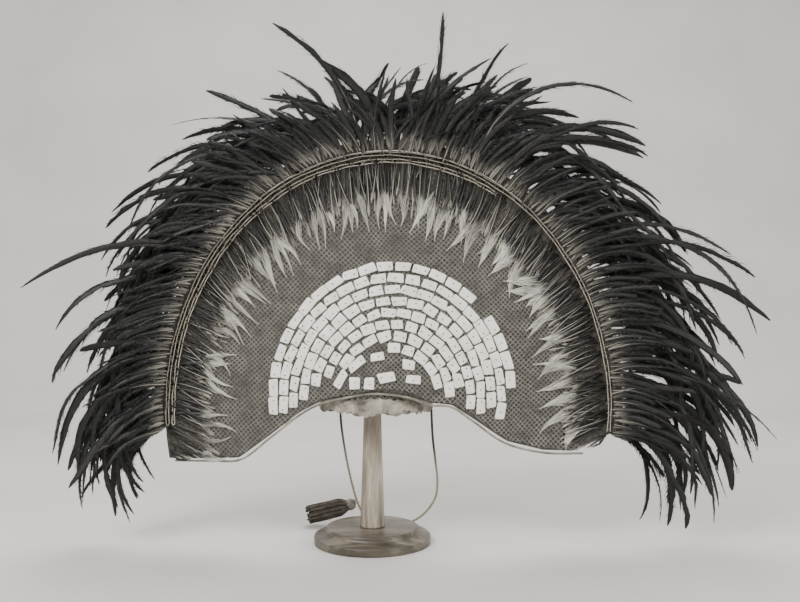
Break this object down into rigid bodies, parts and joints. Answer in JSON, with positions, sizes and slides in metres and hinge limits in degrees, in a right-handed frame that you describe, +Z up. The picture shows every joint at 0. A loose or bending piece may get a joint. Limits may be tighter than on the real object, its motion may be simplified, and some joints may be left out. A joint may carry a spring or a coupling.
{
  "type": "feathered headdress on a wooden stand",
  "caption": "Semicircular fan headdress of netting with sewn shell plates, pale tufts, cane strips and long dark drooping plumes, on a turned wooden stand.",
  "frame": {"origin": "centre of the underside of the stand's base", "axes": "+X to the wearer's left (right as seen from the front), +Y behind the head, +Z up"},
  "size_m": [1.1201, 0.232, 0.8138],
  "materials": {
    "turned_wood": "pale turned softwood, thin worn varnish",
    "knotted_netting": "looped brown plant-fibre netting",
    "lining_cloth": "crumpled light bark cloth",
    "shell": "smooth worn shell",
    "split_cane": "split cane, satin outer skin",
    "dark_feather": "glossy black feather",
    "pale_down": "soft off-white down",
    "fibre_cord": "two-ply twisted plant fibre",
    "tassel_cord": "dark twisted plant fibre"
  },
  "bodies": {
    "root": {"stand_base": "turned_wood", "stand_post": "turned_wood", "cap": "knotted_netting", "cap_lining": "lining_cloth", "net_panel": "knotted_netting", "edge_cord": "fibre_cord", "short_feathers": "dark_feather", "pale_tufts": "pale_down", "chin_cord": "fibre_cord", "tassel": "tassel_cord", "cane_strip_outer_1": "split_cane", "cane_strip_outer_2": "split_cane", "cane_strip_inner_1": "split_cane", "cane_strip_inner_2": "split_cane", "long_plumes_1": "dark_feather", "long_plumes_2": "dark_feather", "long_plumes_3": "dark_feather", "long_plumes_4": "dark_feather", "long_plumes_5": "dark_feather", "long_plumes_6": "dark_feather", "long_plumes_7": "dark_feather", "long_plumes_8": "dark_feather", "shell_plate_01": "shell", "shell_plate_02": "shell", "shell_plate_03": "shell", "shell_plate_04": "shell", "shell_plate_05": "shell", "shell_plate_06": "shell", "shell_plate_07": "shell", "shell_plate_08": "shell", "shell_plate_09": "shell", "shell_plate_10": "shell", "shell_plate_11": "shell", "shell_plate_12": "shell", "shell_plate_13": "shell", "shell_plate_14": "shell", "shell_plate_15": "shell", "shell_plate_16": "shell", "shell_plate_17": "shell", "shell_plate_18": "shell", "shell_plate_19": "shell", "shell_plate_20": "shell", "shell_plate_21": "shell", "shell_plate_22": "shell", "shell_plate_23": "shell", "shell_plate_24": "shell", "shell_plate_25": "shell", "shell_plate_26": "shell", "shell_plate_27": "shell", "shell_plate_28": "shell", "shell_plate_29": "shell", "shell_plate_30": "shell", "shell_plate_31": "shell", "shell_plate_32": "shell", "shell_plate_33": "shell", "shell_plate_34": "shell"}
  },
  "joints": []
}
